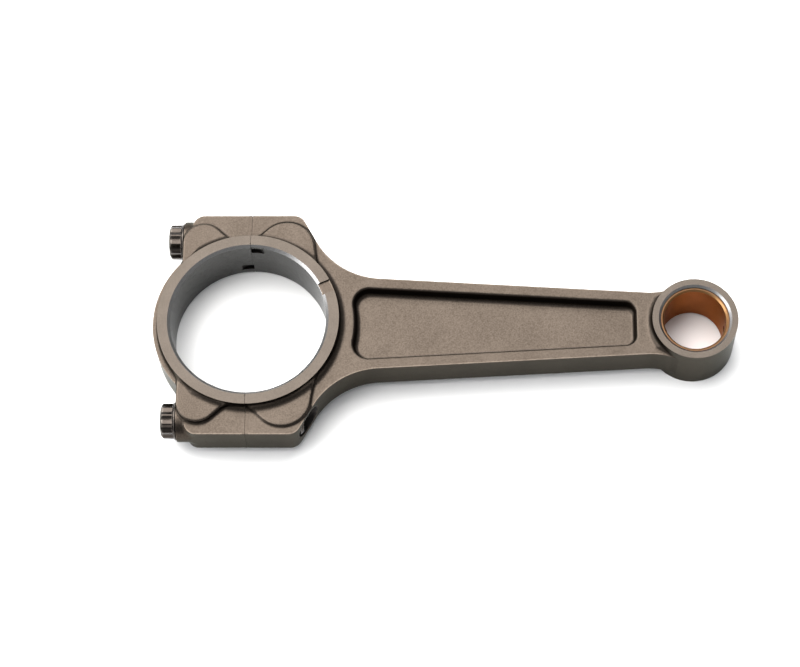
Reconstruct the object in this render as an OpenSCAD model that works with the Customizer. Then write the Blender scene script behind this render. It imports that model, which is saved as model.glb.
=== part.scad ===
// Forged I-beam connecting rod with a bolted cap, hollow dowels and a bushed small end.
// X runs from the big end to the small end, Z along both bores, origin at the centre of the big-end bore.

/* [Main sizes] */
// Centre-to-centre length
cc = 137; // [125:0.5:160]
// Width of the big end and the small end along the bores
width = 19.5; // [17.5:0.1:22]
// Thickness of the beam and shoulders
plate_t = 12; // [10.5:0.1:12.8]

/* [Big end] */
// Diameter of the big-end housing bore
big_bore_d = 48; // [46:0.1:48.6]
// Outside diameter of the thrust ring
ring_d = 56; // [55:0.1:57]
// Edge chamfer of the big-end bore
big_ch = 0.85; // [0.3:0.05:1.2]
// Outer radius of the cap's back rib
rib_r = 29.7; // [29:0.1:31]
// Half width over the shoulders
shoulder_y = 36.5; // [36.2:0.1:38]
// Height of the cap's raised pads above the middle plane
cap_pad_z = 8; // [7:0.1:8.6]
// Height of the rod's raised pads above the middle plane
rod_pad_z = 6.8; // [6.5:0.1:7.5]
// Fillet at the foot of the thrust ring
foot_r = 1.6; // [0.8:0.1:1.8]

/* [Beam] */
// Half width of the beam beside the big end
beam_y0 = 14.9; // [14:0.1:16]
// Half width of the beam beside the small end
beam_y1 = 10.3; // [9.8:0.1:11]
// Width of the beam's two flanges
flange_w = 3.5; // [3:0.1:4.2]
// Thickness of the web between the two pockets
web_t = 4.2; // [3:0.1:6]

/* [Small end] */
// Outside diameter of the small-end boss
boss_d = 26.2; // [25:0.1:28]
// Bore of the bush, for the piston pin
pin_d = 19; // [18:0.1:19.4]
// Outside diameter of the bush
bush_d = 21; // [20.6:0.1:21.8]
// Diameter of the oil hole at the tip
oil_d = 3; // [2:0.1:4]

/* [Bolts] */
// Distance of each bolt from the long axis
bolt_y = 30.1; // [29.9:0.1:30.4]
// Thread diameter of the bolts
bolt_d = 8; // [7.6:0.1:8.2]
// Thread pitch of the bolts
pitch = 1; // [0.75:0.25:1.25]
// Distance of the bolt seats from the parting face
seat_x = 21.3; // [20.5:0.1:22]
// Length of the bolt below the head
bolt_len = 38.8; // [36:0.1:40]
// Height of the bolt head
head_h = 4.9; // [4.5:0.1:6]
// Across the points of the twelve-point head
head_d = 11.1; // [10.5:0.1:11.4]
// Outside diameter of the hollow dowels
dowel_d = 9.6; // [9.4:0.1:9.8]
// Length of the hollow dowels
dowel_len = 8; // [6:0.5:8]

/* [Hidden] */
$fn = 96;

hw = width / 2;
hp = plate_t / 2;
ring_r = ring_d / 2;
bore_r = big_bore_d / 2;
boss_r = boss_d / 2;
bush_r = bush_d / 2;
pin_r = pin_d / 2;
bolt_r = bolt_d / 2;
hole_r = bolt_r + 0.15;
tap_r = bolt_r + 0.05;
dowel_r = dowel_d / 2;
dowel_half = dowel_len / 2;
big = 200;

// line of the shoulder's slope: through its upper apex, falling at slope_a
slope_a = 61;
apex = [15.35, shoulder_y];
corner_r = 4;
corner_t = corner_r * tan(slope_a / 2);
function along(p, a, t) = [p[0] + t * cos(a), p[1] + t * sin(a)];
corner_a = [apex[0] - corner_t, shoulder_y];
corner_b = along(apex, -slope_a, corner_t);
corner_c = [apex[0] - corner_t, shoulder_y - corner_r];

// line of the beam's edge
beam_x0 = 41.6;
beam_x1 = cc - 15;
beam_a = atan((beam_y0 - beam_y1) / (beam_x1 - beam_x0));
function beam_edge(x) = beam_y0 - (x - beam_x0) * tan(beam_a);

// the blend between the slope and the beam
blend_r = 24;
meet_x = (apex[1] + apex[0] * tan(slope_a) - beam_y0 - beam_x0 * tan(beam_a)) / (tan(slope_a) - tan(beam_a));
meet = [meet_x, beam_edge(meet_x)];
blend_t = blend_r * tan((slope_a - beam_a) / 2);
blend_a = along(meet, 180 - slope_a, blend_t);
blend_b = along(meet, -beam_a, blend_t);
blend_c = [blend_a[0] + blend_r * sin(slope_a), blend_a[1] + blend_r * cos(slope_a)];

// the blend between the beam and the small-end boss
neck_r = 20;
neck_cy0 = beam_edge(cc) + neck_r / cos(beam_a);
neck_k = tan(beam_a);
// centre [x, y] with y = neck_cy0 - k (x - cc) and distance boss_r + neck_r from the boss
neck_qa = 1 + neck_k * neck_k;
neck_qb = -2 * neck_cy0 * neck_k;
neck_qc = neck_cy0 * neck_cy0 - (boss_r + neck_r) * (boss_r + neck_r);
neck_dx = (-neck_qb - sqrt(neck_qb * neck_qb - 4 * neck_qa * neck_qc)) / (2 * neck_qa);
neck_c = [cc + neck_dx, neck_cy0 - neck_k * neck_dx];
neck_a = [neck_c[0] - neck_r * sin(beam_a), neck_c[1] - neck_r * cos(beam_a)];
neck_b = [cc + neck_dx * boss_r / (boss_r + neck_r), neck_c[1] * boss_r / (boss_r + neck_r)];

module both_y() { children(); mirror([0, 1, 0]) children(); }

// half space on one side of the parting face
module half(side) {
  translate([side > 0 ? 0 : -big, -big / 2, -big / 2]) cube([big, big, big]);
}

// one side of the rod's outline
module rod_half_outline() {
  difference() {
    union() {
      polygon([[0, 0], [0, shoulder_y], corner_a, corner_c, corner_b, blend_a, blend_b, neck_a, neck_b, [cc, 0]]);
      translate(corner_c) circle(r = corner_r);
    }
    translate(blend_c) circle(r = blend_r);
    translate(neck_c) circle(r = neck_r);
  }
}

module rod_outline() {
  rod_half_outline();
  mirror([0, 1, 0]) rod_half_outline();
}

// a thrust ring or boss with small outer edge chamfers
module disc_body(r, h, c) {
  rotate_extrude() polygon([[0, -h], [r - c, -h], [r, -h + c], [r, h - c], [r - c, h], [0, h]]);
}

// a bore with edge chamfers, larger than the body it is cut from
module chamfered_bore(r, h, c) {
  rotate_extrude() polygon([[0, -h - 1], [r + c + 1, -h - 1], [r, -h + c], [r, h - c], [r + c + 1, h + 1], [0, h + 1]]);
}

// the concave fillet at the foot of a round wall of radius r, on both faces of the plate
module foot(r, f) {
  for (s = [0, 1]) mirror([0, 0, s])
    rotate_extrude() difference() {
      translate([r - 1, hp - 1]) square([f + 1, f + 1]);
      translate([r + f, hp + f]) circle(r = f);
    }
}

// raised pads of the rod half, over the bolts
rod_pad_c = [11, 25.3];
rod_pad_r = 8.7;
module rod_pad_outline() {
  translate(rod_pad_c) circle(r = rod_pad_r);
  polygon([[0.6, 27.5], along(rod_pad_c, 133, rod_pad_r), rod_pad_c, along(rod_pad_c, 8, rod_pad_r), [20.9, 17.5], [8, 20]]);
}

// raised pads of the cap, which end in the bolt seats
cap_pad_r = 6.4;
cap_pad_c = [cap_pad_r - seat_x, 26.6];
module cap_pad_outline() {
  translate(cap_pad_c) circle(r = cap_pad_r);
  polygon([[-seat_x, 17], [-seat_x, cap_pad_c[1]], cap_pad_c, along(cap_pad_c, 48, cap_pad_r), [-6.2, 27.3], [-8, 22]]);
}

module cap_half_outline() {
  translate([-15, shoulder_y - 3.6]) circle(r = 3.6);
  polygon([[0, 0], [0, shoulder_y], [-15, shoulder_y], [-15, shoulder_y - 3.6], [-18.6, shoulder_y - 3.6], [-18.6, 20], [-20, 0]]);
}

// pocket of the I-beam: an arc round the big end, straight sides along the flanges, rounded corners
pocket_x0 = 32.8;
pocket_x1 = cc - 17.8;
pocket_ra = 5;
pocket_rb = 3.4;
// the flange line lies at pocket_c from the origin, and each corner's centre at its own radius inside it
pocket_c = beam_edge(0) * cos(beam_a) - flange_w;
pk_r = pocket_x0 + pocket_ra;
pk_a = along([0, 0], 90 - beam_a - acos((pocket_c - pocket_ra) / pk_r), pk_r);
pk_t = pocket_x0 / pk_r;
pk_bx = pocket_x1 - pocket_rb;
pk_b = [pk_bx, (pocket_c - pocket_rb - sin(beam_a) * pk_bx) / cos(beam_a)];
pk_a1 = along(pk_a, 90 - beam_a, pocket_ra);
pk_b1 = along(pk_b, 90 - beam_a, pocket_rb);
module pocket_half() {
  translate(pk_a) circle(r = pocket_ra);
  translate(pk_b) circle(r = pocket_rb);
  difference() {
    polygon([[28, 0], pk_a * pk_t, pk_a, pk_a1, pk_b1, pk_b, [pocket_x1, pk_b[1]], [pocket_x1, 0]]);
    circle(r = pocket_x0);
  }
}
module pocket_outline() { pocket_half(); mirror([0, 1, 0]) pocket_half(); }

// slot for the bearing shell's tang, one side of the parting face
module tang(side, z) {
  intersection() {
    translate([0, 19.2, z - 1.55]) cylinder(r = 6, h = 3.1);
    half(side);
  }
}

module bolt_axis(s, x) { translate([x, s * bolt_y, 0]) rotate([0, 90, 0]) children(); }

module rod_body() color([0.56, 0.51, 0.46])
  difference() {
    intersection() {
      union() {
        translate([0, 0, -hp]) linear_extrude(plate_t) rod_outline();
        disc_body(ring_r, hw, 0.4);
        translate([cc, 0, 0]) disc_body(boss_r, hw, 0.4);
        translate([0, 0, -rod_pad_z]) linear_extrude(2 * rod_pad_z) { rod_pad_outline(); mirror([0, 1, 0]) rod_pad_outline(); }
        foot(ring_r, foot_r);
        intersection() {
          translate([cc, 0, 0]) foot(boss_r, 2);
          translate([cc - 40, -boss_r, -hw]) cube([34, 2 * boss_r, width]);
          translate([0, 0, -hw]) linear_extrude(width) rod_outline();
        }
      }
      half(1);
    }
    // big-end bore and small-end bore
    chamfered_bore(bore_r, hw, big_ch);
    translate([cc, 0, 0]) chamfered_bore(bush_r, hw, 0.9);
    // pockets on both faces
    for (s = [0, 1]) mirror([0, 0, s]) translate([0, 0, web_t / 2]) linear_extrude(hw) pocket_outline();
    // bolt holes: dowel counterbore, tapped hole, relief where it breaks out of the shoulder
    for (s = [-1, 1]) {
      bolt_axis(s, -1) cylinder(r = tap_r, h = 40);
      bolt_axis(s, -1) cylinder(r = dowel_r, h = 1 + dowel_half + 0.2);
      bolt_axis(s, 15.6) cylinder(r = bolt_r + 0.6, h = 20);
    }
    // tang slot, oil hole and the notch across the thrust face
    tang(1, 7);
    translate([cc, 0, 0]) rotate([0, 90, 0]) cylinder(r = oil_d / 2, h = 20);
    rotate([0, 0, 23.9]) translate([20, -2, hw - 0.7]) cube([9.2, 4, 2]);
  }

module cap() color([0.56, 0.51, 0.46])
  difference() {
    intersection() {
      union() {
        translate([0, 0, -hp]) linear_extrude(plate_t) {
          circle(r = rib_r);
          cap_half_outline();
          mirror([0, 1, 0]) cap_half_outline();
        }
        disc_body(ring_r, hw, 0.4);
        translate([0, 0, -cap_pad_z]) linear_extrude(2 * cap_pad_z) { cap_pad_outline(); mirror([0, 1, 0]) cap_pad_outline(); }
        foot(ring_r, foot_r);
        for (s = [-1, 1]) bolt_axis(s, -seat_x) cylinder(r = 6.4, h = 8);
      }
      half(-1);
    }
    chamfered_bore(bore_r, hw, big_ch);
    for (s = [-1, 1]) {
      bolt_axis(s, -seat_x - 1) cylinder(r = hole_r, h = seat_x + 2);
      bolt_axis(s, -dowel_half - 0.2) cylinder(r = dowel_r + 0.03, h = dowel_half + 1);
      // room for the head where the seat is cut into the back of the ring
      bolt_axis(s, -seat_x - 12) cylinder(r = 6.6, h = 12);
    }
    tang(-1, -5.2);
  }

module small_end_bush() color([0.72, 0.42, 0.2])
  translate([cc, 0, 0]) difference() {
    disc_body(bush_r, hw - 1, 0.05);
    chamfered_bore(pin_r, hw - 1, 0.7);
    rotate([0, 90, 0]) cylinder(r = oil_d / 2, h = 20);
  }

// bolt along +X from its seat, with a flange, a twelve-point head and a waisted shank
waist_r = bolt_r - 0.6;
neck_x = bolt_len - 14;
module cap_bolt(s) color([0.3, 0.26, 0.23])
  bolt_axis(s, -seat_x) {
    translate([0, 0, -0.9]) cylinder(r = head_d / 2 + 0.35, h = 0.9);
    intersection() {
      translate([0, 0, -head_h]) linear_extrude(head_h - 0.5) {
        circle(d = head_d, $fn = 6);
        rotate(30) circle(d = head_d, $fn = 6);
      }
      translate([0, 0, -head_h]) rotate_extrude() polygon([[0, 0], [head_d / 2 - 0.8, 0], [head_d / 2 + 0.1, 0.9], [head_d / 2 + 0.1, head_h], [0, head_h]]);
    }
    rotate_extrude() polygon([[0, -0.5], [bolt_r, -0.5], [bolt_r, 3], [waist_r, 3.8], [waist_r, neck_x - 0.7], [bolt_r, neck_x],
      [bolt_r, bolt_len - 0.9], [bolt_r - 0.9, bolt_len], [0, bolt_len]]);
  }
module cap_bolt_1() cap_bolt(1);
module cap_bolt_2() cap_bolt(-1);

module dowel_sleeve(s) color([0.62, 0.62, 0.63])
  bolt_axis(s, -dowel_half) rotate_extrude()
    polygon([[bolt_r + 0.15, 0], [dowel_r - 0.35, 0], [dowel_r, 0.35], [dowel_r, dowel_len - 0.35], [dowel_r - 0.35, dowel_len], [bolt_r + 0.15, dowel_len]]);
module dowel_sleeve_1() dowel_sleeve(1);
module dowel_sleeve_2() dowel_sleeve(-1);

rod_body();
cap();
small_end_bush();
cap_bolt_1();
cap_bolt_2();
dowel_sleeve_1();
dowel_sleeve_2();
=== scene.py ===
import math
from concurrent.futures import ThreadPoolExecutor

import bmesh
import bpy
import numpy as np
from mathutils import Matrix, Vector


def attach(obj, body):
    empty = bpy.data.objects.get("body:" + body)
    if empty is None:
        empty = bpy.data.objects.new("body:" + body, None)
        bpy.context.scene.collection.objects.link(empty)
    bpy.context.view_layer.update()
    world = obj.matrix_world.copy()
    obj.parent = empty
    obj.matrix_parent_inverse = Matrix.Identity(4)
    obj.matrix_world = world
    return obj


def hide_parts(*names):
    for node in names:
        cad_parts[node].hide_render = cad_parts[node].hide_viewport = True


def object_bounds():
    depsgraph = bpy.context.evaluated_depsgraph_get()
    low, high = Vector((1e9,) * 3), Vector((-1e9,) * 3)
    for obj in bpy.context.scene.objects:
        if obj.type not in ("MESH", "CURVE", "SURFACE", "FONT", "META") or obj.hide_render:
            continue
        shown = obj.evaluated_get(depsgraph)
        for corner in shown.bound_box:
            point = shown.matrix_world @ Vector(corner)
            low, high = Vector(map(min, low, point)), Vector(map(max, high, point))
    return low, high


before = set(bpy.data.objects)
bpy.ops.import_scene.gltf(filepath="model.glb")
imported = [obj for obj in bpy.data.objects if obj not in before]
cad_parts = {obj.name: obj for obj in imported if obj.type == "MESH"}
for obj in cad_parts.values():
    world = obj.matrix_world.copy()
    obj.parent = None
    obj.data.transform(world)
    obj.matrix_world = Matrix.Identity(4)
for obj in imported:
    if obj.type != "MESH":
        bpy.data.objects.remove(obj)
CAD_BOX = [list(v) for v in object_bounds()]

# ---------------------------------------------------------------- sizes, in mm
CC = 137.0
HW = 9.75
HP = 6.0
RING = 28.0
BORE = 24.0
BORE_CH = 0.85
RIB = 29.7
SH = 36.5
BOSS = 13.1
BUSH = 10.5
PIN = 9.5
BOLT_Y = 30.1
SEAT = 21.3
rad = math.radians


def along(p, a, t):
    return (p[0] + t * math.cos(rad(a)), p[1] + t * math.sin(rad(a)))


SLOPE = 61.0
APEX = (15.35, SH)
CORNER_R = 4.0
CORNER_C = (APEX[0] - CORNER_R * math.tan(rad(SLOPE / 2)), SH - CORNER_R)
BEAM_X0, BEAM_Y0, BEAM_X1, BEAM_Y1 = 41.6, 14.9, CC - 15, 10.3
BEAM_A = math.degrees(math.atan((BEAM_Y0 - BEAM_Y1) / (BEAM_X1 - BEAM_X0)))
SB, CB = math.sin(rad(BEAM_A)), math.cos(rad(BEAM_A))
SS, CS = math.sin(rad(SLOPE)), math.cos(rad(SLOPE))


def beam_edge(x):
    return BEAM_Y0 - (x - BEAM_X0) * SB / CB


MEET_X = (APEX[1] + APEX[0] * SS / CS - BEAM_Y0 - BEAM_X0 * SB / CB) / (SS / CS - SB / CB)
MEET = (MEET_X, beam_edge(MEET_X))
BLEND_R = 24.0
BLEND_A = along(MEET, 180 - SLOPE, BLEND_R * math.tan(rad((SLOPE - BEAM_A) / 2)))
BLEND_C = (BLEND_A[0] + BLEND_R * SS, BLEND_A[1] + BLEND_R * CS)
NECK_R = 20.0
NK = SB / CB
NCY = beam_edge(CC) + NECK_R / CB
NQA, NQB, NQC = 1 + NK * NK, -2 * NCY * NK, NCY * NCY - (BOSS + NECK_R) ** 2
NDX = (-NQB - math.sqrt(NQB * NQB - 4 * NQA * NQC)) / (2 * NQA)
NECK_C = (CC + NDX, NCY - NK * NDX)
POCKET_C = beam_edge(0) * CB - 3.5
POCKET_X0, POCKET_X1, PRA, PRB = 32.8, CC - 17.8, 5.0, 3.4
PK_R = POCKET_X0 + PRA
PK_A = along((0, 0), 90 - BEAM_A - math.degrees(math.acos((POCKET_C - PRA) / PK_R)), PK_R)
PK_B = (POCKET_X1 - PRB, (POCKET_C - PRB - SB * (POCKET_X1 - PRB)) / CB)
WEB = 2.1
ROD_PAD_Z, CAP_PAD_Z = 6.8, 8.0


# ---------------------------------------------------------------- distance fields, in mm
def rint(a, b, r):
    """Both, with the edge between them rounded to r."""
    return np.minimum(-r, np.maximum(a, b)) + np.hypot(np.maximum(r + a, 0), np.maximum(r + b, 0))


def runi(a, b, r):
    """Either, with a fillet of r between them."""
    return np.maximum(r, np.minimum(a, b)) - np.hypot(np.maximum(r - a, 0), np.maximum(r - b, 0))


def cham(a, b, c):
    """Both, with a chamfer c wide between them."""
    return np.maximum(np.maximum(a, b), (a + b + c) * 0.70710678)


def sector(ux, uy, a0, a1):
    """Is the angle of u between a0 and a1 degrees, less than half a turn apart?"""
    return (math.cos(rad(a0)) * uy - math.sin(rad(a0)) * ux >= 0) & (math.cos(rad(a1)) * uy - math.sin(rad(a1)) * ux <= 0)


def rod_plan(x, ay):
    slope = SS * (x - APEX[0]) + CS * (ay - APEX[1])
    ux, uy = x - CORNER_C[0], ay - CORNER_C[1]
    end = np.where(sector(ux, uy, 90 - SLOPE, 90), np.hypot(ux, uy) - CORNER_R, np.maximum(ay - SH, slope))
    beam = np.maximum(SB * x + CB * ay - beam_edge(0) * CB, x - CC)
    ux, uy = x - BLEND_C[0], ay - BLEND_C[1]
    d = np.where(sector(ux, uy, 180 + 90 - SLOPE, 270 - BEAM_A), BLEND_R - np.hypot(ux, uy), np.minimum(end, beam))
    boss = np.hypot(x - CC, ay) - BOSS + 0.3
    ux, uy = x - NECK_C[0], ay - NECK_C[1]
    a1 = 360 - math.degrees(math.atan2(NECK_C[1], CC - NECK_C[0]))
    near = sector(ux, uy, 270 - BEAM_A, a1)
    return np.where(near, NECK_R - np.hypot(ux, uy), np.minimum(d, boss))


def rod_pad(x, ay):
    ux, uy = x - 11.0, ay - 25.3
    left = -0.6818 * (x - 0.6) + 0.7316 * (ay - 27.5)
    right = 0.9901 * (x - 20.9) + 0.1412 * (ay - 17.5)
    return np.where(sector(ux, uy, 8.1, 133), np.hypot(ux, uy) - 8.7, np.maximum(left, right))


def cap_pad(x, ay):
    ux, uy = x + 14.9, ay - 26.6
    slope = 0.6762 * (x + 6.2) + 0.7366 * (ay - 27.3)
    d = np.where(sector(ux, uy, 47.5, 180), np.hypot(ux, uy) - 6.4, np.maximum(-x - SEAT, slope))
    return np.maximum(d, 17.0 - ay)


def cap_plan(x, ay):
    ux, uy = x + 15.0, ay - (SH - 3.6)
    block = np.where(sector(ux, uy, 90, 180), np.hypot(ux, uy) - 3.6, np.maximum(ay - SH, -x - 18.6))
    return runi(block, np.hypot(x, ay) - RIB, 1.2)


def pocket_plan(x, ay):
    edge = SB * x + CB * ay - POCKET_C
    r0 = np.hypot(x, ay)
    d = np.maximum(np.maximum(POCKET_X0 - r0, edge), x - POCKET_X1)
    ux, uy = x - PK_A[0], ay - PK_A[1]
    a1 = 180 + math.degrees(math.atan2(PK_A[1], PK_A[0]))
    d = np.where(sector(ux, uy, 90 - BEAM_A, a1), np.hypot(ux, uy) - PRA, d)
    ux, uy = x - PK_B[0], ay - PK_B[1]
    return np.where(sector(ux, uy, 0, 90 - BEAM_A), np.hypot(ux, uy) - PRB, d)


def rod_field(x, y, z):
    ay, az = np.abs(y), np.abs(z)
    plan = rod_plan(x, ay)
    rr, br = np.hypot(x, y), np.hypot(x - CC, y)
    body = rint(plan, az - HP, 0)
    body = runi(body, rint(rod_pad(x, ay), az - ROD_PAD_Z, 0.45), 0.7)
    body = runi(body, rint(rr - RING, az - HW, 0), 2.2 * np.clip(-plan / 2.6, 0, 1))
    body = runi(body, rint(br - BOSS, az - HW, 0), 2.2 * np.clip(-plan / 2.2, 0, 1))
    pocket = rint(pocket_plan(x, ay) + 0.09 * (HP - az), WEB - az, 1.4)
    body = rint(body, -pocket, 0.7)
    # bores
    body = np.maximum(body, BORE - rr)
    body = np.maximum(body, (BORE + BORE_CH - (HW - az) - rr) * 0.7071)
    body = np.maximum(body, BUSH - br)
    body = np.maximum(body, (BUSH + 0.68 - (HW - az) - br) * 0.7071)
    # bolt holes: relief at the slope, counterbore of the dowel
    d = np.hypot(ay - BOLT_Y, z)
    hole = np.minimum(np.minimum(d - 4.05, np.maximum(d - 4.8, x - 4.2)), np.maximum(d - 4.6, 15.6 - x))
    body = cham(body, -hole, 0.12)
    body = np.maximum(body, -np.maximum(np.hypot(x, y - 19.2) - 6, np.abs(z - 7) - 1.55))
    body = np.maximum(body, -np.maximum(np.hypot(y, z) - 1.5, CC - x))
    u, v = x * 0.91425 + y * 0.40514, -x * 0.40514 + y * 0.91425
    body = rint(body, -np.maximum(np.maximum(np.abs(v) - 2, np.abs(u - 25) - 5), 9.05 - z), 0)
    return cham(body, -x, 0.07)


def cap_field(x, y, z):
    ay, az = np.abs(y), np.abs(z)
    plan = cap_plan(x, ay)
    rr = np.hypot(x, y)
    d = np.hypot(ay - BOLT_Y, z)
    body = rint(plan, az - HP, 0)
    seat = np.maximum(np.maximum(d - 6.4, -x - SEAT), x + 13)
    body = runi(body, seat, 0.8)
    pad = rint(cap_pad(x, ay), az - CAP_PAD_Z, 0.5)
    body = runi(body, pad, 0.9)
    body = runi(body, rint(rr - RING, az - HW, 0), 2.2 * np.clip(-plan / 2.6, 0, 1))
    body = np.maximum(body, -np.maximum(d - 6.6, x + SEAT))
    body = np.maximum(body, np.where(ay > 25, -x - SEAT, -100))
    body = np.maximum(body, BORE - rr)
    body = np.maximum(body, (BORE + BORE_CH - (HW - az) - rr) * 0.7071)
    hole = np.minimum(d - 4.15, np.maximum(d - 4.83, -4.2 - x))
    body = cham(body, -hole, 0.12)
    body = np.maximum(body, -np.maximum(np.hypot(x, y - 19.2) - 6, np.abs(z + 5.2) - 1.55))
    return cham(body, x, 0.07)


def bush_field(x, y, z):
    az, br = np.abs(z), np.hypot(x - CC, y)
    h = HW - 1
    body = cham(br - (BUSH - 0.01), az - h, 0.1)
    body = np.maximum(body, PIN - br)
    body = np.maximum(body, (PIN + 0.5 - (h - az) - br) * 0.7071)
    return np.maximum(body, -np.maximum(np.hypot(y, z) - 1.5, CC - x))


# ---------------------------------------------------------------- contouring
def axis(*stretches):
    """Grid lines over stretches (from, to, step) that follow one another."""
    out = [stretches[0][0]]
    for a, b, h in stretches:
        n = max(int(round((b - a) / h)), 1)
        out += list(np.linspace(a, b, n + 1)[1:])
    return np.array(out, np.float64)


def field_at(f, x, y, z, pool, size=20000):
    parts = [slice(k, k + size) for k in range(0, len(x), size)]
    return np.concatenate(list(pool.map(lambda s: f(x[s], y[s], z[s]), parts)))


def contour(f, xs, ys, zs):
    """Dual contouring of f = 0 on a rectilinear grid: vertices, quads, and how convex (+) or hollow (-) each vertex is."""
    with ThreadPoolExecutor(4) as pool:
        nx, ny, nz = len(xs), len(ys), len(zs)

        def slab(i):
            out = f(xs[i:i + 8, None, None], ys[None, :, None], zs[None, None, :])
            return np.broadcast_to(out, (len(xs[i:i + 8]), ny, nz)).astype(np.float32)

        F = np.concatenate(list(pool.map(slab, range(0, nx, 8))))
        inside = F < 0
        grids = (xs, ys, zs)
        quads, pts, cells, flips = [], [], [], []
        for ax in range(3):
            a = [slice(None)] * 3
            b = [slice(None)] * 3
            a[ax], b[ax] = slice(None, -1), slice(1, None)
            idx = np.argwhere(inside[tuple(a)] != inside[tuple(b)])
            i, j, k = idx.T
            e = idx.copy()
            e[:, ax] += 1
            p0 = np.stack([xs[i], ys[j], zs[k]], 1)
            p1 = np.stack([xs[e[:, 0]], ys[e[:, 1]], zs[e[:, 2]]], 1)
            f0 = F[i, j, k].astype(float)
            f1 = F[e[:, 0], e[:, 1], e[:, 2]].astype(float)
            t0, t1 = np.zeros(len(i)), np.ones(len(i))
            for step in range(7):
                t = t0 + (t1 - t0) * (np.clip(f0 / (f0 - f1), 0.03, 0.97) if step % 2 == 0 else 0.5)
                p = p0 + (p1 - p0) * t[:, None]
                v = field_at(f, p[:, 0], p[:, 1], p[:, 2], pool)
                same = (v < 0) == (f0 < 0)
                t0, f0 = np.where(same, t, t0), np.where(same, v, f0)
                t1, f1 = np.where(same, t1, t), np.where(same, f1, v)
            t = t0 + (t1 - t0) * np.clip(f0 / (f0 - f1), 0, 1)
            pts.append(p0 + (p1 - p0) * t[:, None])
            u, w = (ax + 1) % 3, (ax + 2) % 3
            ring = []
            for du, dw in ((-1, -1), (0, -1), (0, 0), (-1, 0)):
                c = idx.copy()
                c[:, u] += du
                c[:, w] += dw
                ring.append((c[:, 0] * ny + c[:, 1]) * nz + c[:, 2])
            cells.append(np.stack(ring, 1))
            flips.append(~inside[i, j, k])
        P, C, flip = np.concatenate(pts), np.concatenate(cells), np.concatenate(flips)
        eps = 0.008
        N = np.stack([field_at(f, *(P + o).T, pool) - field_at(f, *(P - o).T, pool) for o in np.eye(3) * eps], 1)
        N /= np.maximum(np.linalg.norm(N, axis=1), 1e-9)[:, None]
        ids, inv = np.unique(C.ravel(), return_inverse=True)
        inv = inv.reshape(C.shape)
        n = len(ids)
        where, rows = inv.ravel(), np.repeat(np.arange(len(P)), 4)
        sums = lambda w: np.bincount(where, weights=w[rows], minlength=n)
        count = np.bincount(where, minlength=n)
        mass = np.stack([sums(P[:, k]) for k in range(3)], 1) / count[:, None]
        d = np.einsum("ij,ij->i", N, P)
        A = np.empty((n, 3, 3))
        for r in range(3):
            for c in range(r, 3):
                A[:, r, c] = A[:, c, r] = sums(N[:, r] * N[:, c])
        rhs = np.stack([sums(N[:, k] * d) for k in range(3)], 1) - np.einsum("nij,nj->ni", A, mass)
        A[:, range(3), range(3)] += 0.004 * count[:, None]
        V = mass + np.linalg.solve(A, rhs[:, :, None])[:, :, 0]
        cell = np.stack([ids // (ny * nz), ids // nz % ny, ids % nz], 1)
        for k, g in enumerate(grids):
            lo, hi = g[cell[:, k]], g[cell[:, k] + 1]
            V[:, k] = np.clip(V[:, k], lo - 0.05 * (hi - lo), hi + 0.05 * (hi - lo))
        # bring vertices that the solve left off the surface back on to it
        for _ in range(2):
            off = field_at(f, *V.T, pool)
            far = np.abs(off) > 0.006
            if not far.any():
                break
            W = V[far]
            G = np.stack([field_at(f, *(W + o).T, pool) - field_at(f, *(W - o).T, pool) for o in np.eye(3) * eps], 1) / (2 * eps)
            G2 = np.maximum((G * G).sum(1), 0.25)
            V[far] = W - np.clip(off[far] / G2, -0.3, 0.3)[:, None] * G
        V = np.clip(V, np.array(CAD_BOX[0]) * 1000 + 2e-5, np.array(CAD_BOX[1]) * 1000 - 2e-5)
        Q = np.where(flip[:, None], inv[:, ::-1], inv)
        s = 0.4
        lap = sum(field_at(f, *(V + o).T, pool) + field_at(f, *(V - o).T, pool) for o in np.eye(3) * s)
        lap = (lap - 6 * field_at(f, *V.T, pool)) / s
    return V, Q, np.clip(lap, -1.5, 1.5)


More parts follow.
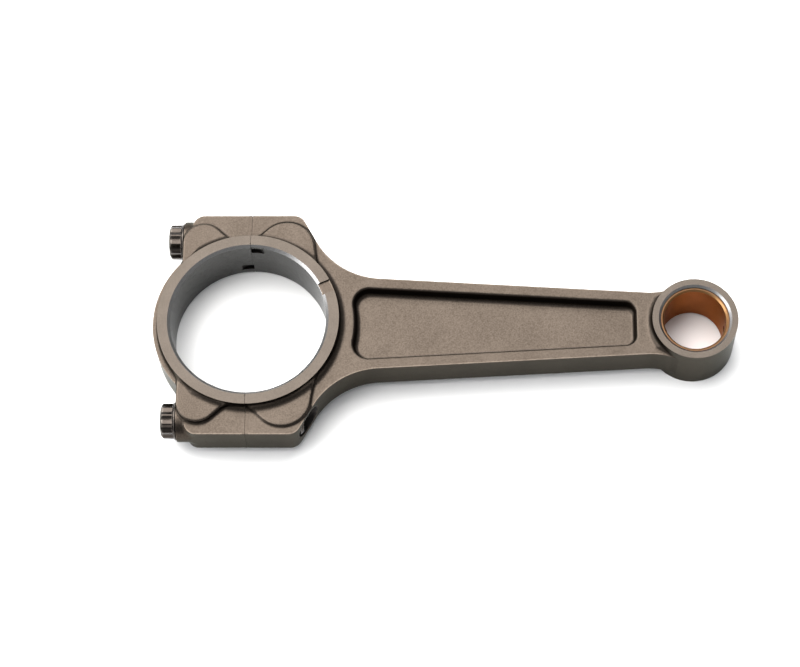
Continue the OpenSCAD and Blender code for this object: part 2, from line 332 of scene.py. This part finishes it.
def mesh_object(name, V, Q, body, nodes, slots, index=None, attributes=(), angle=32, crisp=()):
    me = bpy.data.meshes.new(name)
    me.vertices.add(len(V))
    me.vertices.foreach_set("co", (np.asarray(V, np.float32) * 0.001).ravel())
    if isinstance(Q, np.ndarray):
        sizes, flat = np.full(len(Q), Q.shape[1]), Q.ravel()
    else:
        sizes, flat = np.array([len(q) for q in Q]), np.concatenate([np.asarray(q) for q in Q])
    me.loops.add(len(flat))
    me.loops.foreach_set("vertex_index", flat.astype(np.int32))
    me.polygons.add(len(sizes))
    me.polygons.foreach_set("loop_start", (np.cumsum(sizes) - sizes).astype(np.int32))
    me.update(calc_edges=True)
    me.validate()
    for m in slots:
        me.materials.append(m)
    if index is not None:
        me.polygons.foreach_set("material_index", np.asarray(index, np.int32))
    for label, values in attributes:
        at = me.attributes.new(label, "FLOAT", "POINT")
        at.data.foreach_set("value", np.asarray(values, np.float32))
    bm = bmesh.new()
    bm.from_mesh(me)
    bmesh.ops.dissolve_degenerate(bm, dist=2e-6, edges=bm.edges)
    bm.to_mesh(me)
    bm.free()
    me.shade_smooth()
    me.set_sharp_from_angle(angle=rad(angle))
    if len(crisp):
        # machined faces meet their neighbours at a crisp line
        le = np.empty(len(me.loops), np.int32)
        me.loops.foreach_get("edge_index", le)
        starts = np.empty(len(me.polygons), np.int32)
        me.polygons.foreach_get("loop_start", starts)
        counts = np.diff(np.append(starts, len(me.loops)))
        mat = np.empty(len(me.polygons), np.int32)
        me.polygons.foreach_get("material_index", mat)
        of = np.repeat(mat, counts)
        lo, hi = np.full(len(me.edges), 99), np.full(len(me.edges), -1)
        np.minimum.at(lo, le, of)
        np.maximum.at(hi, le, of)
        sharp = np.zeros(len(me.edges), bool)
        at = me.attributes.get("sharp_edge")
        if at is not None:
            at.data.foreach_get("value", sharp)
        else:
            at = me.attributes.new("sharp_edge", "BOOLEAN", "EDGE")
        at.data.foreach_set("value", sharp | ((lo != hi) & (np.isin(lo, crisp) | np.isin(hi, crisp))))
    ob = bpy.data.objects.new(name, me)
    bpy.context.scene.collection.objects.link(ob)
    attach(ob, body)
    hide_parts(*nodes)
    return ob


def face_data(V, Q):
    c = V[Q].mean(1)
    n = np.cross(V[Q[:, 2]] - V[Q[:, 0]], V[Q[:, 3]] - V[Q[:, 1]])
    return c, n / np.maximum(np.linalg.norm(n, axis=1), 1e-12)[:, None]


# ---------------------------------------------------------------- materials
class Nodes:
    def __init__(self, name):
        self.m = bpy.data.materials.new(name)
        self.m.use_nodes = True
        self.t = self.m.node_tree
        self.t.nodes.clear()
        self.out = self.t.nodes.new("ShaderNodeOutputMaterial")
        self.bsdf = self.t.nodes.new("ShaderNodeBsdfPrincipled")
        self.t.links.new(self.bsdf.outputs[0], self.out.inputs[0])
        self.co = self.t.nodes.new("ShaderNodeTexCoord").outputs["Object"]

    def link(self, a, b):
        self.t.links.new(a, b)

    def put(self, node, socket, value):
        if hasattr(value, "is_linked") or isinstance(value, bpy.types.NodeSocket):
            self.link(value, node.inputs[socket])
        else:
            node.inputs[socket].default_value = value

    def math(self, op, a, b=0.0, clamp=False):
        n = self.t.nodes.new("ShaderNodeMath")
        n.operation, n.use_clamp = op, clamp
        self.put(n, 0, a)
        self.put(n, 1, b)
        return n.outputs[0]

    def mapping(self, scale, rotation=(0, 0, 0), location=(0, 0, 0), source=None):
        n = self.t.nodes.new("ShaderNodeMapping")
        self.link(source or self.co, n.inputs["Vector"])
        n.inputs["Scale"].default_value = scale
        n.inputs["Rotation"].default_value = rotation
        n.inputs["Location"].default_value = location
        return n.outputs[0]

    def noise(self, vector, scale, detail=3.0, rough=0.55, distort=0.0):
        n = self.t.nodes.new("ShaderNodeTexNoise")
        self.link(vector, n.inputs["Vector"])
        n.inputs["Scale"].default_value = scale
        n.inputs["Detail"].default_value = detail
        n.inputs["Roughness"].default_value = rough
        n.inputs["Distortion"].default_value = distort
        return n.outputs[0]

    def voronoi(self, vector, scale, feature="F1", smooth=0.0):
        n = self.t.nodes.new("ShaderNodeTexVoronoi")
        n.feature = feature
        self.link(vector, n.inputs["Vector"])
        n.inputs["Scale"].default_value = scale
        return n.outputs["Distance"]

    def ramp(self, fac, *stops):
        n = self.t.nodes.new("ShaderNodeValToRGB")
        self.link(fac, n.inputs[0])
        els = n.color_ramp.elements
        while len(els) < len(stops):
            els.new(0.5)
        for el, (pos, col) in zip(els, stops):
            el.position = pos
            el.color = (col, col, col, 1) if isinstance(col, (int, float)) else (*col, 1)
        return n.outputs[0]

    def mix(self, fac, a, b, mode="MIX"):
        n = self.t.nodes.new("ShaderNodeMix")
        n.data_type, n.blend_type = "RGBA", mode
        self.put(n, 0, fac)
        for sock, v in ((6, a), (7, b)):
            if isinstance(v, bpy.types.NodeSocket):
                self.link(v, n.inputs[sock])
            else:
                n.inputs[sock].default_value = (*v, 1) if len(v) == 3 else v
        return n.outputs[2]

    def attribute(self, name):
        n = self.t.nodes.new("ShaderNodeAttribute")
        n.attribute_name = name
        return n.outputs["Fac"]

    def bump(self, height, strength, distance, normal=None):
        n = self.t.nodes.new("ShaderNodeBump")
        n.inputs["Strength"].default_value = strength
        n.inputs["Distance"].default_value = distance
        self.link(height, n.inputs["Height"])
        if normal is not None:
            self.link(normal, n.inputs["Normal"])
        return n.outputs[0]

    def finish(self, color, rough, metallic=1.0, normal=None, **extra):
        self.put(self.bsdf, "Base Color", color)
        self.put(self.bsdf, "Roughness", rough)
        self.bsdf.inputs["Metallic"].default_value = metallic
        if normal is not None:
            self.link(normal, self.bsdf.inputs["Normal"])
        for k, v in extra.items():
            self.bsdf.inputs[k.replace("_", " ")].default_value = v
        return self.m


def steel_peened(name, dark, light, rough0, rough1, grain=1.0):
    """Forged steel, shot-peened: fine dimples and a brown-grey cast, lighter along its convex edges as wear plus a
    painted highlight, and darker in its corners by painted shade.
    """
    k = Nodes(name)
    mm = k.mapping((1000, 1000, 1000))
    speck = k.noise(mm, 2.6, 3.0, 0.6)
    fine = k.noise(mm, 6.5, 2.0, 0.6)
    broad = k.noise(mm, 0.09, 2.0, 0.5)
    tone = k.math("ADD", k.math("MULTIPLY", speck, 0.80), k.math("MULTIPLY", broad, 0.20))
    base = k.mix(k.ramp(tone, (0.34, 0.0), (0.66, 1.0)), dark, light)
    edge = k.attribute("edge")
    breakup = k.noise(mm, 0.8, 3.0, 0.6)
    # convex edges: lighter, partly as wear and partly as a painted highlight where a rounded edge would catch the light
    convex = k.math("MULTIPLY", k.ramp(edge, (0.35, 0.0), (1.0, 1.0)), k.ramp(breakup, (0.3, 0.45), (0.62, 1.0)))
    # corners and creases: painted shade, the colour darkened where shade falls
    hollow = k.ramp(k.math("MULTIPLY", edge, -1.0), (0.10, 0.0), (0.60, 1.0))
    base = k.mix(k.math("MULTIPLY", convex, 0.45), base, tuple(min(c * 1.75, 1) for c in light))
    base = k.mix(k.math("MULTIPLY", hollow, 0.14), base, tuple(c * 0.30 for c in dark))
    rough = k.math("ADD", k.math("MULTIPLY", speck, rough1 - rough0), rough0 - 0.02)
    rough = k.math("SUBTRACT", rough, k.math("MULTIPLY", convex, 0.10))
    rough = k.math("ADD", rough, k.math("MULTIPLY", hollow, 0.05), clamp=True)
    dimples = k.voronoi(mm, 2.9)
    height = k.math("ADD", k.math("MULTIPLY", dimples, 0.55), k.math("MULTIPLY", fine, 0.55))
    normal = k.bump(height, 0.32 * grain, 0.00006)
    return k.finish(base, rough, 1.0, normal, Specular_Tint=(0.64, 0.655, 0.63, 1))


def steel_faced(name, color, rough, lines=1.0):
    """Machined flat: fine arcs of the facing cutter over a satin ground."""
    k = Nodes(name)
    mm = k.mapping((1000, 1000, 1000))
    streak = k.noise(k.mapping((9000, 350, 9000), (0, 0, rad(12))), 1.0, 3.0, 0.6)
    speck = k.noise(mm, 3.2, 3.0, 0.6)
    broad = k.noise(mm, 0.12, 2.0, 0.5)
    tone = k.math("ADD", k.math("MULTIPLY", speck, 0.75), k.math("MULTIPLY", broad, 0.25))
    base = k.mix(k.ramp(tone, (0.36, 0.0), (0.64, 1.0)), tuple(c * 0.80 for c in color), tuple(min(c * 1.20, 1) for c in color))
    r = k.math("ADD", k.math("MULTIPLY", streak, 0.12), rough - 0.06)
    normal = k.bump(streak, 0.12 * lines, 0.00003, k.bump(speck, 0.10, 0.00004))
    return k.finish(base, r, 1.0, normal)


def steel_honed(name, cx, color, rough, across=24.0, **extra):
    """Honed bore: a cross-hatch of fine scratches running round the wall, with a soft oily variation."""
    k = Nodes(name)
    sep = k.t.nodes.new("ShaderNodeSeparateXYZ")
    k.link(k.mapping((1000, 1000, 1000), (0, 0, 0), (-cx, 0, 0)), sep.inputs[0])
    ang = k.math("MULTIPLY", k.math("ARCTAN2", sep.outputs[1], sep.outputs[0]), across)
    com = k.t.nodes.new("ShaderNodeCombineXYZ")
    k.link(ang, com.inputs[0])
    k.link(sep.outputs[2], com.inputs[1])
    hatch = []
    for turn in (28, -28):
        v = k.mapping((0.45, 9.0, 1.0), (0, 0, rad(turn)), source=com.outputs[0])
        hatch.append(k.noise(v, 1.0, 3.0, 0.65))
    both = k.math("MULTIPLY", k.math("ADD", hatch[0], hatch[1]), 0.5)
    mm = k.mapping((1000, 1000, 1000))
    broad = k.noise(mm, 0.15, 2.0, 0.5)
    base = k.mix(k.ramp(broad, (0.3, 0.0), (0.7, 1.0)), tuple(c * 0.86 for c in color), tuple(min(c * 1.1, 1) for c in color))
    base = k.mix(k.math("MULTIPLY", k.ramp(both, (0.4, 0.0), (0.62, 1.0)), 0.25), base, tuple(min(c * 1.3, 1) for c in color))
    r = k.math("ADD", k.math("MULTIPLY", both, 0.16), rough - 0.08)
    normal = k.bump(both, 0.16, 0.00003)
    return k.finish(base, r, 1.0, normal, **extra)


def plain_metal(name, color, rough, spread=0.12, turned=0.0, edge_light=0.0, bump=0.1):
    """Turned or coated metal: mottled tone and gloss, rings left by the tool where turned, wear along edges."""
    k = Nodes(name)
    mm = k.mapping((1000, 1000, 1000))
    speck = k.noise(mm, 2.2, 4.0, 0.6)
    broad = k.noise(mm, 0.35, 2.0, 0.5)
    tone = k.math("ADD", k.math("MULTIPLY", speck, 0.5), k.math("MULTIPLY", broad, 0.5))
    base = k.mix(k.ramp(tone, (0.3, 0.0), (0.7, 1.0)), tuple(c * (1 - spread) for c in color), tuple(min(c * (1 + spread), 1) for c in color))
    r = k.math("ADD", k.math("MULTIPLY", speck, 0.14), rough - 0.07)
    if edge_light:
        edge = k.attribute("edge")
        worn = k.math("MULTIPLY", k.ramp(edge, (0.25, 0.0), (0.9, 1.0)), k.ramp(speck, (0.38, 0.1), (0.6, 1.0)))
        base = k.mix(k.math("MULTIPLY", worn, edge_light), base, (0.5, 0.47, 0.43))
    normal = k.bump(speck, bump, 0.00004)
    if turned:
        rings = k.noise(k.mapping((turned, 120, 120)), 1.0, 2.0, 0.6)
        normal = k.bump(rings, 0.12, 0.00003, normal)
    return k.finish(base, r, 1.0, normal)


PEENED = steel_peened("forged_steel_peened", (0.0275, 0.0216, 0.0170), (0.0550, 0.0443, 0.0360), 0.28, 0.44)
FACED = steel_faced("forged_steel_faced", (0.048, 0.0402, 0.0338), 0.36)
HONED = steel_honed("big_end_bore_honed", 0.0, (0.068, 0.068, 0.065), 0.28, Specular_Tint=(0.8, 0.8, 0.8, 1))
HONED_SMALL = steel_honed("small_end_bore_honed", CC, (0.16, 0.16, 0.158), 0.35, 10.5)
BRIGHT = steel_faced("chamfer_bright", (0.26, 0.255, 0.25), 0.34)
# near-black painted shade for steel faces inside the parting-line groove, bolt holes, oil hole and tang slots
PAINTED_SHADE = plain_metal("hole_and_gap_painted_shade", (0.018, 0.016, 0.015), 0.46)
BRONZE = steel_honed("bush_bronze", CC, (0.25, 0.100, 0.050), 0.30, 9.5, Specular_Tint=(0.68, 0.48, 0.38, 1))
BRONZE_RIM = plain_metal("bush_rim_bronze", (0.25, 0.135, 0.058), 0.34, 0.08)
BRONZE_END = plain_metal("bush_end_oxidised", (0.075, 0.040, 0.020), 0.42, 0.15)
BOLT = plain_metal("bolt_black_oxide", (0.036, 0.030, 0.026), 0.19, 0.22, turned=5000, edge_light=0.22)
DOWEL = plain_metal("dowel_ground", (0.12, 0.118, 0.115), 0.30, 0.08, turned=6000)


# ---------------------------------------------------------------- the rod half, the cap and the bush
Z_HALF = [(0, 1.5, 0.5), (1.5, 2.7, 0.3), (2.7, 5.1, 0.48), (5.1, 7.0, 0.27), (7.0, 9.0, 0.5), (9.0, 9.9, 0.225)]
zs_half = axis(*Z_HALF)
ZS = np.concatenate([-zs_half[:0:-1], zs_half])
YS = axis((-36.96, 36.96, 0.42))
rod_x = axis((-0.24, 0.48, 0.12), (0.48, 43.5, 0.44), (43.5, 112.0, 1.05), (112.0, 150.6, 0.44))
V, Q, lap = contour(rod_field, rod_x, YS, ZS)
lap[np.abs(V[:, 0]) < 0.7] = 0
c, n = face_data(V, Q)
rr, br = np.hypot(c[:, 0], c[:, 1]), np.hypot(c[:, 0] - CC, c[:, 1])
az, nz = np.abs(c[:, 2]), np.abs(n[:, 2])
index = np.zeros(len(Q), int)
index[(az > HW - 0.05) & (nz > 0.95)] = 1
index[(rr < BORE + 0.3) & (nz < 0.5) & (az < HW - BORE_CH + 0.1)] = 2
index[(br < BUSH + 0.12) & (nz < 0.35)] = 3
index[(rr < BORE + 1.0) & (az > HW - BORE_CH - 0.15) & (nz > 0.45) & (nz < 0.93)] = 4
index[(br < BUSH + 1.1) & (az > HW - 1.15) & (nz > 0.45) & (nz < 0.93)] = 4
index[(c[:, 0] < 0.05) & (n[:, 0] < -0.9)] = 1
# parting-line chamfer, bolt-hole walls, oil hole and tang slots: the near-black painted shade
index[(c[:, 0] < 0.1) & (n[:, 0] < -0.3) & (n[:, 0] > -0.9)] = 5
holes = np.hypot(np.abs(c[:, 1]) - BOLT_Y, c[:, 2])
index[(holes < 4.65) & (np.abs(n[:, 0]) < 0.6)] = 5
index[(np.hypot(c[:, 1], c[:, 2]) < 1.55) & (c[:, 0] > CC)] = 5
slot_face = (np.abs(c[:, 2] - 7) < 1.7) & (c[:, 1] > 20) & (rr > BORE + 0.15) & (rr < 26.2) & (c[:, 0] < 5.9) & (az < HW - 0.9)
index[slot_face] = 5
rod_ob = mesh_object("rod_body_forging", V, Q, "rod", ["rod_body"], [PEENED, FACED, HONED, HONED_SMALL, BRIGHT, PAINTED_SHADE], index, [("edge", lap)], 50, (2, 3, 4))

cap_x = axis((-29.88, -0.48, 0.42), (-0.48, 0.24, 0.12))
V, Q, lap = contour(cap_field, cap_x, YS, ZS)
lap[np.abs(V[:, 0]) < 0.7] = 0
c, n = face_data(V, Q)
rr = np.hypot(c[:, 0], c[:, 1])
az, nz = np.abs(c[:, 2]), np.abs(n[:, 2])
index = np.zeros(len(Q), int)
index[(az > HW - 0.05) & (nz > 0.95)] = 1
index[(rr < BORE + 0.3) & (nz < 0.5) & (az < HW - BORE_CH + 0.1)] = 2
index[(rr < BORE + 1.0) & (az > HW - BORE_CH - 0.15) & (nz > 0.45) & (nz < 0.93)] = 3
index[(c[:, 0] > -0.05) & (n[:, 0] > 0.9)] = 1
# parting-line chamfer, bolt-hole walls and tang slots: the near-black painted shade
index[(c[:, 0] > -0.1) & (n[:, 0] > 0.3) & (n[:, 0] < 0.9)] = 4
holes = np.hypot(np.abs(c[:, 1]) - BOLT_Y, c[:, 2])
index[(holes < 4.95) & (np.abs(n[:, 0]) < 0.6)] = 4
index[(holes < 6.7) & (c[:, 0] < -SEAT + 0.1) & (n[:, 0] < -0.9)] = 1
slot_face = (np.abs(c[:, 2] + 5.2) < 1.7) & (c[:, 1] > 20) & (rr > BORE + 0.15) & (rr < 26.2) & (c[:, 0] > -5.9)
index[slot_face] = 4
cap_ob = mesh_object("cap_forging", V, Q, "cap", ["cap"], [PEENED, FACED, HONED, BRIGHT, PAINTED_SHADE], index, [("edge", lap)], 50, (2, 3))

bx = axis((CC - 10.8, CC + 10.8, 0.2))
bz = axis((-8.88, -7.83, 0.15), (-7.83, 7.83, 0.78), (7.83, 8.88, 0.15))
V, Q, lap = contour(bush_field, bx, axis((-10.8, 10.8, 0.2)), bz)
c, n = face_data(V, Q)
nz = np.abs(n[:, 2])
index = np.zeros(len(Q), int)
index[nz > 0.4] = 1
index[nz > 0.95] = 2
bush_ob = mesh_object("small_end_bush_bronze", V, Q, "rod", ["small_end_bush"], [BRONZE, BRONZE_RIM, BRONZE_END], index, [("edge", lap)], 32, (1, 2))


# ---------------------------------------------------------------- bolts and dowels, turned about +X
def turned(rows, n, cy, name, body, slot, node, slots, row_slot=None, closed=False, edge=None, angle=32):
    """A skin of rings about the axis y = cy. Each row is (x, radii), or (x, None) for a point on the axis. A closed skin joins its last row to its first."""
    th = 2 * math.pi * np.arange(n) / n
    verts, first, faces, index = [], [], [], []
    at = 0
    for x, r in rows:
        first.append(at)
        if r is None:
            verts.append([[x, cy, 0.0]])
            at += 1
        else:
            r = np.broadcast_to(r, (n,))
            verts.append(np.stack([np.broadcast_to(x, (n,)), cy + r * np.cos(th), r * np.sin(th)], 1))
            at += n
    pairs = [(i, i + 1) for i in range(len(rows) - 1)] + ([(len(rows) - 1, 0)] if closed else [])
    k = np.arange(n)
    k2 = (k + 1) % n
    for i, j in pairs:
        a, b = first[i], first[j]
        if rows[i][1] is None:
            f = np.stack([np.full(n, a), b + k2, b + k], 1)
        elif rows[j][1] is None:
            f = np.stack([a + k, a + k2, np.full(n, b)], 1)
        else:
            f = np.stack([a + k, a + k2, b + k2, b + k], 1)
        faces += list(f)
        index += [row_slot[i] if row_slot else 0] * len(f)
    V = np.concatenate([np.asarray(v, float) for v in verts])
    values = np.concatenate([np.full(1 if r is None else n, e) for (x, r), e in zip(rows, edge)]) if edge else np.zeros(len(V))
    return mesh_object(name, V, faces, body, [node], slots, index, [("edge", values)], angle)


def star(n, across=11.1, soft=0.10):
    """Radius of the twelve-point head round its axis: two hexagons, with the points and valleys slightly rounded."""
    th = np.degrees(2 * math.pi * np.arange(n) / n)
    a = across / 2 * math.cos(rad(30))
    h = lambda t: a / np.cos(np.radians((t % 60) - 30))
    h1, h2 = h(th), h(th + 30)
    r = np.maximum(h1, h2) + 0.5 * np.maximum(0.16 - np.abs(h1 - h2), 0) ** 2 / 0.16 * 0.9
    return np.minimum(r, across / 2 - 0.10)


def bolt():
    n = 288
    th = np.arange(n) / n
    rows, slots, edge = [], [], []

    def add(x, r, e=0.0):
        rows.append((x, r))
        edge.append(e)

    x0, head = -SEAT, 4.9
    top = x0 - head
    full = star(n)
    # head: shallow dish, flat land, bevel, splines, then the conical flange
    add(top + 0.45, None)
    for r, d in ((0.9, 0.45), (1.7, 0.42), (2.3, 0.3), (2.7, 0.12), (2.95, 0.03), (3.15, 0.0)):
        add(top + d, r, 0.2 if d < 0.1 else 0)
    for r in (3.8, 4.4, 4.62):
        add(top, r)
    for r, d in ((4.72, 0.02), (4.8, 0.07)):
        add(top + d, r, 0.5)
    for d in np.arange(0.12, 0.95, 0.07):
        add(top + d, np.minimum(4.8 + 1.05 * (d - 0.07), full), 0.5)
    for d in np.linspace(1.0, 3.55, 9):
        add(top + d, full, 0.0)
    # root of the splines and the flange
    for f in np.linspace(0, 1, 6)[1:]:
        a = f * math.pi / 2
        add(top + 3.55 + 0.3 * math.sin(a), full + (5.6 - full) * (1 - math.cos(a)) * 0.6, -0.3)
    add(top + 3.93, np.maximum(full, 5.62), 0.1)
    for a in np.linspace(90, -90, 9):
        add(top + 4.45 - 0.33 * math.sin(rad(a)), 5.57 + 0.33 * math.cos(rad(a)), 0.4)
    add(x0, 5.2)
    add(x0, 4.6)
    add(x0 + 0.001, 4.0)
    # shank: fitted neck, waist, then a helical M8 x 1 thread
    for x, r in ((0.3, 4.0), (3.0, 4.0), (3.15, 3.98), (3.8, 3.42), (4.0, 3.4), (9.0, 3.4), (14.0, 3.4), (19.0, 3.4), (23.6, 3.4), (24.1, 3.4)):
        add(x0 + x, r)
    start, end = 24.2, 38.8
    for x in np.arange(start, end - 0.001, 0.0833):
        w = (x - th) % 1.0
        t = np.abs(w - 0.5) * 2
        groove = np.clip((t - 0.12) / 0.72, 0, 1)
        r = 3.40 + 0.59 * (1 - groove)
        run_in = min((x - start) / 0.9, 1)
        r = 3.4 + (r - 3.4) * run_in
        tip = 4.0 - max(x - (end - 0.9), 0)
        r = np.minimum(r, tip)
        add(x0 + x, r, 0.0)
    add(x0 + end, 3.05)
    add(x0 + end, 1.6)
    add(x0 + end, None)
    return rows, edge, n


rows, edge, n_seg = bolt()
for name, cy, body, node in (("cap_bolt_1_twelve_point", BOLT_Y, "bolt_1", "cap_bolt_1"), ("cap_bolt_2_twelve_point", -BOLT_Y, "bolt_2", "cap_bolt_2")):
    turned(rows, n_seg, cy, name, body, "bolt_steel", node, [BOLT], edge=edge, angle=28)

for name, cy, node in (("dowel_sleeve_1_ground", BOLT_Y, "dowel_sleeve_1"), ("dowel_sleeve_2_ground", -BOLT_Y, "dowel_sleeve_2")):
    prof = [(-3.65, 4.15), (-3.8, 4.2), (-4.0, 4.45), (-3.95, 4.52), (-3.65, 4.8), (-1.0, 4.8), (1.0, 4.8), (3.65, 4.8), (3.95, 4.52), (4.0, 4.45), (3.8, 4.2), (3.65, 4.15), (0.0, 4.15)]
    turned(prof, 128, cy, name, "rod", "dowel_steel", node, [DOWEL], closed=True, edge=[0.0] * len(prof), angle=28)


# ---------------------------------------------------------------- floor, light, camera
def stage_material():
    k = Nodes("floor_white")
    mm = k.mapping((1000, 1000, 1000))
    soft = k.noise(mm, 0.01, 2.0, 0.5)
    k.put(k.bsdf, "Base Color", k.ramp(soft, (0.3, 0.715), (0.7, 0.73)))
    k.bsdf.inputs["Roughness"].default_value = 0.7
    return k.m


FLOOR_Z = -HW * 0.001
bpy.ops.mesh.primitive_plane_add(size=6, location=(0.05, 0, FLOOR_Z - 0.00002))
floor = bpy.context.object
floor.name = "floor"
floor.data.materials.append(stage_material())

target = Vector((0.0465, -0.001, 0.0))
world = bpy.data.worlds.new("studio")
bpy.context.scene.world = world
world.use_nodes = True
wt = world.node_tree
bg = wt.nodes["Background"]
wc = wt.nodes.new("ShaderNodeTexCoord")
wd = wt.nodes.new("ShaderNodeVectorMath")
wd.operation = "DOT_PRODUCT"
wd.inputs[1].default_value = Vector((-0.55, 0.62, 0.56)).normalized()
wt.links.new(wc.outputs["Generated"], wd.inputs[0])
wr = wt.nodes.new("ShaderNodeMapRange")
wr.interpolation_type = "SMOOTHSTEP"
for at, value in ((1, -0.15), (2, 0.85), (3, 0.45), (4, 1.6)):
    wr.inputs[at].default_value = value
wt.links.new(wd.outputs["Value"], wr.inputs[0])
wt.links.new(wr.outputs[0], bg.inputs[1])
bg.inputs[0].default_value = (0.95, 0.97, 1.0, 1)


def area(name, at, look, size, power, color=(1, 1, 1)):
    data = bpy.data.lights.new(name, "AREA")
    data.shape, data.size, data.size_y = "RECTANGLE", size[0], size[1]
    data.energy, data.color = power, color
    ob = bpy.data.objects.new(name, data)
    ob.location = at
    ob.rotation_euler = (Vector(look) - Vector(at)).to_track_quat("-Z", "Y").to_euler()
    bpy.context.scene.collection.objects.link(ob)
    return ob


area("key_overhead", (-0.45, 0.78, 1.84), (0.05, 0.0, 0.0), (2.4, 2.0), 110.0, (1.0, 0.985, 0.96))
area("strip_front", (-0.62, -0.42, 1.75), (0.05, 0.0, 0.0), (1.1, 0.5), 7.0, (1.0, 0.97, 0.93))
area("left_high", (-1.35, 0.70, 1.25), (0.05, 0.0, 0.0), (0.9, 0.8), 20.0, (1.0, 0.985, 0.965))
area("fill_left", (-0.95, -0.22, 0.30), (0.05, 0.0, 0.0), (0.75, 0.4), 6.0, (0.97, 0.985, 1.0))

DIST = 0.771
away = Vector((0.0283, -0.3849, 0.9225)).normalized()
cam_data = bpy.data.cameras.new("camera")
cam_data.sensor_width = 36.0
cam_data.lens = 112.0
cam = bpy.data.objects.new("camera", cam_data)
bpy.context.scene.collection.objects.link(cam)
fwd = -away
right = (Vector((1, 0, 0)) - fwd * fwd.x).normalized()
up = right.cross(fwd)
m = Matrix((right, up, -fwd)).transposed().to_4x4()
m.translation = target + away * DIST
cam.matrix_world = m
bpy.context.scene.camera = cam
bpy.context.scene.view_settings.view_transform = "Standard"
